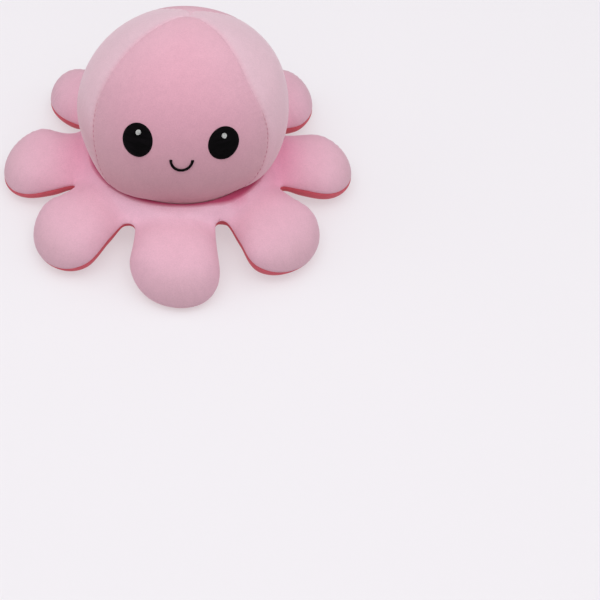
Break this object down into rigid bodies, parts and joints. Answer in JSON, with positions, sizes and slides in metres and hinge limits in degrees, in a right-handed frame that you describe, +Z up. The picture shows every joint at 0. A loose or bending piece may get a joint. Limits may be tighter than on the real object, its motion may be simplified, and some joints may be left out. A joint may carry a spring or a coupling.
{
  "type": "plush octopus",
  "caption": "Reversible stuffed octopus with a round gored head, embroidered faces, a skirt of soft rounded limbs that bend at the root, and a lined pocket to turn it inside out through.",
  "frame": {"origin": "centre of the toy's outline, on the surface that it rests on", "axes": "+Z up, the face looks along -Y, +X to the toy's left"},
  "size_m": [0.2, 0.2, 0.1115],
  "materials": {
    "outer_plush": "light pink short-pile plush with a soft sheen",
    "inner_plush": "coral short-pile plush with a soft sheen",
    "filling": "loose white fibre filling",
    "dark_thread": "black satin-stitch embroidery with a low gloss",
    "white_thread": "white satin-stitch embroidery"
  },
  "bodies": {
    "body": {"head_gore_front": "outer_plush", "head_gore_left": "outer_plush", "head_gore_back": "outer_plush", "head_gore_right": "outer_plush", "head_filling": "filling", "pocket_gore_front": "inner_plush", "pocket_gore_left": "inner_plush", "pocket_gore_back": "inner_plush", "pocket_gore_right": "inner_plush", "skirt_upper_skin": "outer_plush", "skirt_lower_skin": "inner_plush", "skirt_filling": "filling", "eye_left": "dark_thread", "eye_right": "dark_thread", "eye_glint_left": "white_thread", "eye_glint_right": "white_thread", "mouth": "dark_thread", "pocket_eye_left": "dark_thread", "pocket_eye_right": "dark_thread", "pocket_eye_glint_left": "white_thread", "pocket_eye_glint_right": "white_thread", "pocket_mouth": "dark_thread"},
    "limb_1": {"limb_1_upper_skin": "outer_plush", "limb_1_lower_skin": "inner_plush", "limb_1_filling": "filling"},
    "limb_2": {"limb_2_upper_skin": "outer_plush", "limb_2_lower_skin": "inner_plush", "limb_2_filling": "filling"},
    "limb_3": {"limb_3_upper_skin": "outer_plush", "limb_3_lower_skin": "inner_plush", "limb_3_filling": "filling"},
    "limb_4": {"limb_4_upper_skin": "outer_plush", "limb_4_lower_skin": "inner_plush", "limb_4_filling": "filling"},
    "limb_5": {"limb_5_upper_skin": "outer_plush", "limb_5_lower_skin": "inner_plush", "limb_5_filling": "filling"},
    "limb_6": {"limb_6_upper_skin": "outer_plush", "limb_6_lower_skin": "inner_plush", "limb_6_filling": "filling"},
    "limb_7": {"limb_7_upper_skin": "outer_plush", "limb_7_lower_skin": "inner_plush", "limb_7_filling": "filling"},
    "limb_8": {"limb_8_upper_skin": "outer_plush", "limb_8_lower_skin": "inner_plush", "limb_8_filling": "filling"}
  },
  "joints": [
    {"name": "limb_1_bend", "type": "hinge", "parent": "body", "child": "limb_1", "pos_m": [0, -0.059, 0.01624], "axis": [-1, 0, 0], "range_deg": [-28, 28], "stiffness_Nm_per_rad": 0.06},
    {"name": "limb_2_bend", "type": "hinge", "parent": "body", "child": "limb_2", "pos_m": [0.04172, -0.04172, 0.01624], "axis": [-0.7071, -0.7071, 0], "range_deg": [-28, 28], "stiffness_Nm_per_rad": 0.06},
    {"name": "limb_3_bend", "type": "hinge", "parent": "body", "child": "limb_3", "pos_m": [0.059, 0, 0.01624], "axis": [0, -1, 0], "range_deg": [-28, 28], "stiffness_Nm_per_rad": 0.06},
    {"name": "limb_4_bend", "type": "hinge", "parent": "body", "child": "limb_4", "pos_m": [0.04172, 0.04172, 0.01624], "axis": [0.7071, -0.7071, 0], "range_deg": [-28, 28], "stiffness_Nm_per_rad": 0.06},
    {"name": "limb_5_bend", "type": "hinge", "parent": "body", "child": "limb_5", "pos_m": [0, 0.059, 0.01624], "axis": [1, 0, 0], "range_deg": [-28, 28], "stiffness_Nm_per_rad": 0.06},
    {"name": "limb_6_bend", "type": "hinge", "parent": "body", "child": "limb_6", "pos_m": [-0.04172, 0.04172, 0.01624], "axis": [0.7071, 0.7071, 0], "range_deg": [-28, 28], "stiffness_Nm_per_rad": 0.06},
    {"name": "limb_7_bend", "type": "hinge", "parent": "body", "child": "limb_7", "pos_m": [-0.059, 0, 0.01624], "axis": [0, 1, 0], "range_deg": [-28, 28], "stiffness_Nm_per_rad": 0.06},
    {"name": "limb_8_bend", "type": "hinge", "parent": "body", "child": "limb_8", "pos_m": [-0.04172, -0.04172, 0.01624], "axis": [-0.7071, 0.7071, 0], "range_deg": [-28, 28], "stiffness_Nm_per_rad": 0.06}
  ]
}
